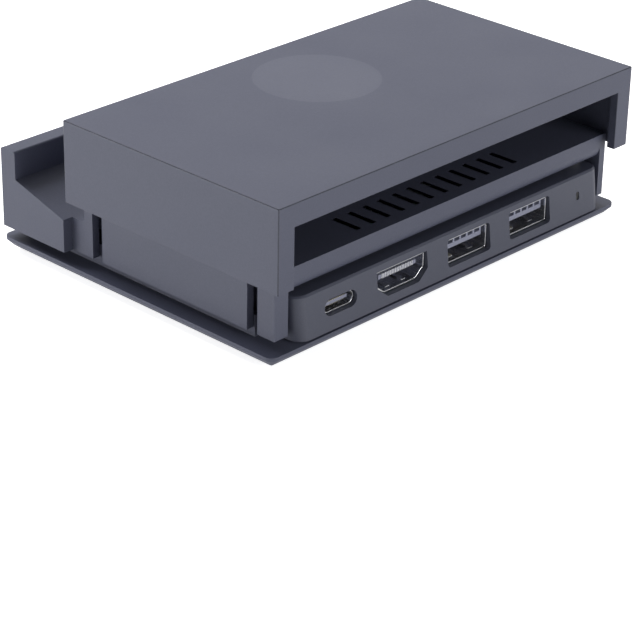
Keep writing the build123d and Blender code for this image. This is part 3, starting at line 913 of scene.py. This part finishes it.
class DOCK_OT_data_sockets(bpy.types.Operator):
    """Makes the two wide data sockets: folded shells with spring fingers, and bent contacts"""

    bl_idname = "dock.data_sockets"
    bl_label = "Data sockets"

    def execute(self, context):
        sizes, colours = context.scene.dock_sizes, context.scene.dock_colours
        nickel = plated_metal("nickel_plated_steel_wide", colours.nickel)
        gold = plated_metal("gold_flashed_bronze_wide", colours.gold, roughness=0.25)
        polymer = moulded_polymer(
            "liquid_crystal_polymer_wide", colours.insulator, roughness=0.55
        )
        low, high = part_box("type_a_shell_1")
        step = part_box("type_a_shell_2")[0] - low
        shell = self.fold_shell(low, high, sizes)
        contacts = self.bend_contacts((low.x + high.x) / 2)
        shells = (shell, copy_to(shell, "data_shell_2", step))
        rows = (contacts, copy_to(contacts, "data_contacts_2", step))
        for number, shell, contacts in zip((1, 2), shells, rows):
            finish_piece(shell, nickel, f"type_a_shell_{number}")
            finish_piece(contacts, gold, f"type_a_contacts_{number}")
            dress(f"type_a_tongue_{number}", polymer)
        return {"FINISHED"}

    def fold_shell(self, low, high, sizes):
        """Folds the first socket's shell, with its springs."""
        depth = high.y - low.y - sizes.sheet
        shell = folded_tube("data_shell_1", low, high, sizes.sheet, sizes.fold, depth)
        fingers = spring_fingers(
            low,
            high,
            sizes.sheet,
            root=1.6 * MM,
            apart=6.4 * MM,
            width=1.5 * MM,
            runs=(1.2 * MM, 0.8 * MM, 2.6 * MM),
            floor=(0.45 * MM, 0.12 * MM),
            # The tongue is under the top, so the fingers there stand in less.
            top=(-0.18 * MM, -0.048 * MM),
        )
        return join_pieces("data_shell_1", [shell] + fingers)

    def bend_contacts(self, middle):
        """Bends the first socket's four contacts, which bow down from the tongue."""
        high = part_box("type_a_contacts_1")[1]
        outer, back, under = 3.5 * MM, 0.2 * MM, 0.08 * MM
        start = (middle - outer, high.y - back, high.z - under)
        steps = [
            (0, -0.9 * MM, -0.3 * MM),
            (0, -0.8 * MM, -0.25 * MM),
            (0, -0.7 * MM, 0.0),
            (0, -0.8 * MM, 0.25 * MM),
            (0, -3.6 * MM, 0.3 * MM),
        ]
        first = bent_strip("contact", start, steps, width=1.0 * MM, thick=0.15 * MM)
        # The inner two are 2 mm apart, and the outer ones stand 2.5 mm from them.
        moves = (2.5 * MM, 4.5 * MM, 7.0 * MM)
        copies = [copy_to(first, "contact", (move, 0, 0)) for move in moves]
        return join_pieces("data_contacts_1", [first] + copies)


class DOCK_OT_display_socket(bpy.types.Operator):
    """Makes the display socket, with its slanted lower corners, springs and contacts"""

    bl_idname = "dock.display_socket"
    bl_label = "Display socket"

    def execute(self, context):
        sizes, colours = context.scene.dock_sizes, context.scene.dock_colours
        nickel = plated_metal("nickel_plated_steel_display", colours.nickel)
        tin = plated_metal("bright_tin", colours.nickel)
        polymer = moulded_polymer("liquid_crystal_polymer_display", colours.insulator)
        low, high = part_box("video_shell")
        middle = (low.x + high.x) / 2
        shell = self.fold_shell(low, high, middle, sizes)
        finish_piece(shell, nickel, "video_shell")
        dress("video_tongue", polymer)
        finish_piece(self.bend_contacts(middle), tin, "video_contacts")
        return {"FINISHED"}

    def fold_shell(self, low, high, middle, sizes):
        """Folds the shell: a box with its lower corners cut off, hollowed, with its springs."""
        shell = add_block("display_shell", low, high)
        edit(shell)
        # Half the width of the flat foot, and the height at which the slants end.
        foot, shoulder = 4.75 * MM, 2.1 * MM
        for side in (-1, 1):
            bpy.ops.mesh.select_all(action="SELECT")
            bpy.ops.mesh.bisect(
                plane_co=(middle + side * foot, 0, low.z),
                plane_no=Vector((side * shoulder, 0, foot - (high.x - middle))).normalized(),
                use_fill=True,
                clear_outer=True,
            )
        pick_edges(shell, runs_back)
        bpy.ops.mesh.bevel(offset=0.7 * sizes.fold, segments=6, affect="EDGES")
        hollow_front(shell, high.y, sizes.sheet, high.y - low.y - sizes.sheet)
        done()
        fingers = spring_fingers(
            low,
            high,
            sizes.sheet,
            root=1.2 * MM,
            apart=4.8 * MM,
            width=1.3 * MM,
            runs=(1.2 * MM, 0.7 * MM, 2.0 * MM),
            floor=(0.35 * MM, 0.1 * MM),
            top=(-0.35 * MM, -0.1 * MM),
        )
        return join_pieces("display_shell", [shell] + fingers)

    def bend_contacts(self, middle):
        """Bends the contacts: each goes over the tongue's front edge and back along it."""
        low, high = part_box("video_contacts")
        pitch, width, thick = 0.5 * MM, 0.28 * MM, 0.15 * MM
        tall = high.z - low.z - thick
        contacts = []
        # Ten run back on top of the tongue, and nine, between them, underneath.
        for count, level, way in ((10, low.z, 1), (9, high.z, -1)):
            start = (middle - (count - 1) * pitch, high.y, level + way * thick / 2)
            steps = [(0, 0, way * tall), (0, low.y - high.y, 0)]
            first = bent_strip("contact", start, steps, width, thick)
            contacts.append(first)
            for place in range(1, count):
                contacts.append(copy_to(first, "contact", (2 * place * pitch, 0, 0)))
        return join_pieces("display_contacts", contacts)


class DOCK_OT_power_socket(bpy.types.Operator):
    """Makes the small round-ended power socket on its legs"""

    bl_idname = "dock.power_socket"
    bl_label = "Power socket"

    def execute(self, context):
        sizes, colours = context.scene.dock_sizes, context.scene.dock_colours
        nickel = plated_metal("nickel_plated_steel_round", colours.nickel)
        gold = plated_metal("gold_flashed_bronze_round", colours.gold, roughness=0.25)
        polymer = moulded_polymer("liquid_crystal_polymer_round", colours.insulator)
        low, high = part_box("type_c_shell")
        wall = 0.3 * MM
        tall = sizes.power_opening + 2 * wall
        shell = folded_tube(
            "power_shell",
            Vector((low.x, low.y, high.z - tall)),
            high,
            sheet=0.8 * sizes.sheet,
            # A hair under half the height, so that the ends are round.
            fold=0.499 * tall,
            depth=high.y - low.y - sizes.sheet,
        )
        # Four legs go down from the tube's widest level: two near its back, two near its mouth.
        length, back, front = 1.2 * MM, low.y + 0.6 * MM, high.y - 3.2 * MM
        foot = Vector((low.x, back, low.z))
        leg = add_block("leg", foot, (low.x + wall, back + length, high.z - tall / 2))
        across, along = high.x - wall - low.x, front - back
        moves = ((0, along, 0), (across, 0, 0), (across, along, 0))
        legs = [leg] + [copy_to(leg, "leg", move) for move in moves]
        shell = join_pieces("power_shell", [shell] + legs)
        finish_piece(shell, nickel, "type_c_shell")
        dress("type_c_tongue", polymer)
        dress("type_c_contacts", gold)
        return {"FINISHED"}


class DOCK_OT_console_plug(bpy.types.Operator):
    """Makes the plug that stands in the console slot"""

    bl_idname = "dock.console_plug"
    bl_label = "Console plug"

    def execute(self, context):
        colours = context.scene.dock_colours
        nickel = plated_metal(
            "nickel_plated_steel_plug", colours.nickel, roughness=0.25, drawn=DRAWN_UP
        )
        polymer = moulded_polymer("liquid_crystal_polymer_plug", colours.resin)
        shell = softened_copy("plug_shell", "plug_sleeve", width=0.08 * MM)
        finish_piece(shell, nickel, "plug_shell")
        dress("plug_insert", polymer)
        return {"FINISHED"}


class DOCK_OT_board(bpy.types.Operator):
    """Dresses the circuit board and what it carries"""

    bl_idname = "dock.board"
    bl_label = "Circuit board"

    def execute(self, context):
        colours = context.scene.dock_colours
        dress("main_board", solder_mask(colours.board))
        resin = moulded_polymer("chip_epoxy", colours.resin, roughness=0.6)
        zinc = plated_metal(
            "zinc_plated_steel", colours.nickel, roughness=0.35, drawn=NOT_DRAWN
        )
        ceramic = moulded_polymer("fired_ceramic", colours.ceramic, roughness=0.4)
        for node, name, width, material, slot in (
            ("hub_chip", "hub_chip_body", 0.15 * MM, resin, "chip_resin"),
            ("video_chip", "video_chip_body", 0.15 * MM, resin, "chip_resin"),
            ("power_chip", "power_chip_body", 0.15 * MM, resin, "chip_resin"),
            ("inductors", "inductors_body", 0.15 * MM, resin, "chip_resin"),
            ("capacitors", "capacitor_bodies", 0.1 * MM, ceramic, "capacitor_ceramic"),
            ("crystal", "crystal_can", 0.15 * MM, zinc, "screw_steel"),
            ("board_screws", "board_screw_heads", 0.15 * MM, zinc, "screw_steel"),
        ):
            finish_piece(softened_copy(node, name, width), material, node)
        return {"FINISHED"}


class DOCK_OT_status_light(bpy.types.Operator):
    """Makes the frosted light guide and its lamp"""

    bl_idname = "dock.status_light"
    bl_label = "Status light"

    def execute(self, context):
        colours = context.scene.dock_colours
        frosted = frosted_polycarbonate(colours.guide)
        epoxy = moulded_polymer("lamp_epoxy", colours.lamp, roughness=0.3)
        guide = softened_copy("light_pipe", "light_guide", width=0.1 * MM)
        finish_piece(guide, frosted, "light_pipe")
        lamp = softened_copy("status_led", "lamp", width=0.1 * MM)
        finish_piece(lamp, epoxy, "status_led")
        return {"FINISHED"}


class DOCK_OT_stage(bpy.types.Operator):
    """Lays the pale floor and sets the lights and the camera"""

    bl_idname = "dock.stage"
    bl_label = "Stage"

    def execute(self, context):
        scene, stage = context.scene, context.scene.dock_stage
        scene.view_settings.view_transform = "Standard"
        self.lay_floor(stage)
        self.light_world(scene, stage)
        # Places and sizes of the soft lights, in metres.
        flat, square = (0.6, 0.16), (0.7, 0.7)
        self.hang_box("left_box", Vector((0.8, -0.5, 0.1)), flat, stage.left)
        self.hang_box("right_box", Vector((-0.1, 0.8, 0.22)), flat, stage.right)
        high = self.hang_box("back_box", Vector((-0.05, -0.75, 0.7)), square, stage.back)
        # A deep diffuser: it leaves no glare on the roof.
        high.visible_glossy = False
        self.set_camera(scene, stage)
        return {"FINISHED"}

    def lay_floor(self, stage):
        """Lays a white light table, which glows evenly and still takes the dock's shadow."""
        bpy.ops.object.select_all(action="DESELECT")
        bpy.ops.mesh.primitive_plane_add(size=6.0, location=(0, 0, 0))
        floor = bpy.context.active_object
        floor.name = "floor"
        material, tree, shader = start_material("opal_acrylic_table")[:3]
        # The camera sees an even white. The dock sees a dimmer glow and the lamps' light, with its
        # own shadow.
        seen = add_node(tree, "ShaderNodeLightPath", {}).outputs["Is Camera Ray"]
        glow = add_node(
            tree, "ShaderNodeMapRange", {"Value": seen, "To Min": stage.glow, "To Max": stage.table}
        ).outputs["Result"]
        set_inputs(
            tree,
            shader,
            {
                "Base Color": linear("e2e2e2"),
                "Roughness": 0.9,
                "Specular IOR Level": 0.1,
                "Emission Color": linear("ffffff"),
                "Emission Strength": glow,
            },
        )
        floor.data.materials.append(material)

    def light_world(self, scene, stage):
        """Lights the dock a little all round; metal and glass see a backdrop in a dark room."""
        world = bpy.data.worlds.new("dark_room_with_backdrop")
        scene.world = world
        world.use_nodes = True
        tree = world.node_tree
        rays = add_node(tree, "ShaderNodeLightPath", {}).outputs
        way = add_node(tree, "ShaderNodeTexCoord", {}).outputs["Generated"]
        # The backdrop stands beyond the lip's far corner, and fades into the room at its edges.
        middle, dark, white = (-0.7, -0.65, 0.3), 0.12, 1.3
        facing = add_node(
            tree, "ShaderNodeVectorMath", {0: way, 1: middle}, operation="DOT_PRODUCT"
        ).outputs["Value"]
        backdrop = add_node(
            tree,
            "ShaderNodeMapRange",
            {"Value": facing, "From Min": 0.1, "From Max": 0.7, "To Min": dark, "To Max": white},
        ).outputs["Result"]
        mirrored = add_node(
            tree, "ShaderNodeMath", {0: rays["Is Glossy Ray"], 1: backdrop}, operation="MULTIPLY"
        ).outputs["Value"]
        # The camera sees white, and so does what looks through glass.
        direct = add_node(
            tree,
            "ShaderNodeMath",
            {0: rays["Is Camera Ray"], 1: rays["Is Transmission Ray"]},
            operation="MAXIMUM",
        ).outputs["Value"]
        shown = add_node(
            tree, "ShaderNodeMath", {0: direct, 1: mirrored}, operation="MAXIMUM"
        ).outputs["Value"]
        strength = add_node(
            tree, "ShaderNodeMath", {0: shown, 1: stage.sky}, operation="MAXIMUM"
        ).outputs["Value"]
        background = tree.nodes["Background"]
        set_inputs(tree, background, {"Color": linear("ffffff"), "Strength": strength})

    def hang_box(self, name, place, size, power):
        """Hangs a soft light of a width and a height that faces the dock."""
        bpy.ops.object.light_add(type="AREA", location=place)
        lamp = bpy.context.active_object
        lamp.name = name
        lamp.data.shape = "RECTANGLE"
        lamp.data.size, lamp.data.size_y = size
        lamp.data.energy = power
        lamp.rotation_euler = (-place).to_track_quat("-Z", "Y").to_euler()
        return lamp

    def set_camera(self, scene, stage):
        """Sets the camera where the photograph was taken from."""
        a, e = stage.azimuth, stage.elevation
        look = -Vector((math.sin(a) * math.cos(e), -math.cos(a) * math.cos(e), math.sin(e)))
        bpy.ops.object.camera_add(location=stage.eye)
        camera = bpy.context.active_object
        turn = look.to_track_quat("-Z", "Y").to_matrix() @ Matrix.Rotation(stage.roll, 3, "Z")
        camera.rotation_euler = turn.to_euler()
        camera.data.sensor_width = 36.0
        camera.data.sensor_fit = "HORIZONTAL"
        camera.data.lens = stage.lens
        camera.data.clip_start = 10 * MM
        scene.camera = camera


class DOCK_PT_panel(bpy.types.Panel):
    """Lists the dock's sizes, colours and pieces"""

    bl_idname = "DOCK_PT_panel"
    bl_label = "Console dock"
    bl_space_type = "VIEW_3D"
    bl_region_type = "UI"
    bl_category = "Dock"

    def draw(self, context):
        for name, group in groups.items():
            for field in group.__annotations__:
                self.layout.prop(getattr(context.scene, name), field)
        for operator in operators:
            self.layout.operator(operator.bl_idname)


groups = {"dock_sizes": DockSizes, "dock_colours": DockColours, "dock_stage": DockStage}
operators = (
    DOCK_OT_mouldings,
    DOCK_OT_feet,
    DOCK_OT_data_sockets,
    DOCK_OT_display_socket,
    DOCK_OT_power_socket,
    DOCK_OT_console_plug,
    DOCK_OT_board,
    DOCK_OT_status_light,
    DOCK_OT_stage,
)


def register():
    """Registers the groups, the operators and the panel."""
    for name, group in groups.items():
        bpy.utils.register_class(group)
        setattr(bpy.types.Scene, name, bpy.props.PointerProperty(type=group))
    for operator in operators:
        bpy.utils.register_class(operator)
    bpy.utils.register_class(DOCK_PT_panel)


def unregister():
    """Takes them out again."""
    bpy.utils.unregister_class(DOCK_PT_panel)
    for operator in reversed(operators):
        bpy.utils.unregister_class(operator)
    for name, group in groups.items():
        delattr(bpy.types.Scene, name)
        bpy.utils.unregister_class(group)


def main():
    """Makes every piece and the stage."""
    register()
    bpy.ops.dock.mouldings()
    bpy.ops.dock.feet()
    bpy.ops.dock.data_sockets()
    bpy.ops.dock.display_socket()
    bpy.ops.dock.power_socket()
    bpy.ops.dock.console_plug()
    bpy.ops.dock.board()
    bpy.ops.dock.status_light()
    bpy.ops.dock.stage()


if __name__ == "__main__":
    main()
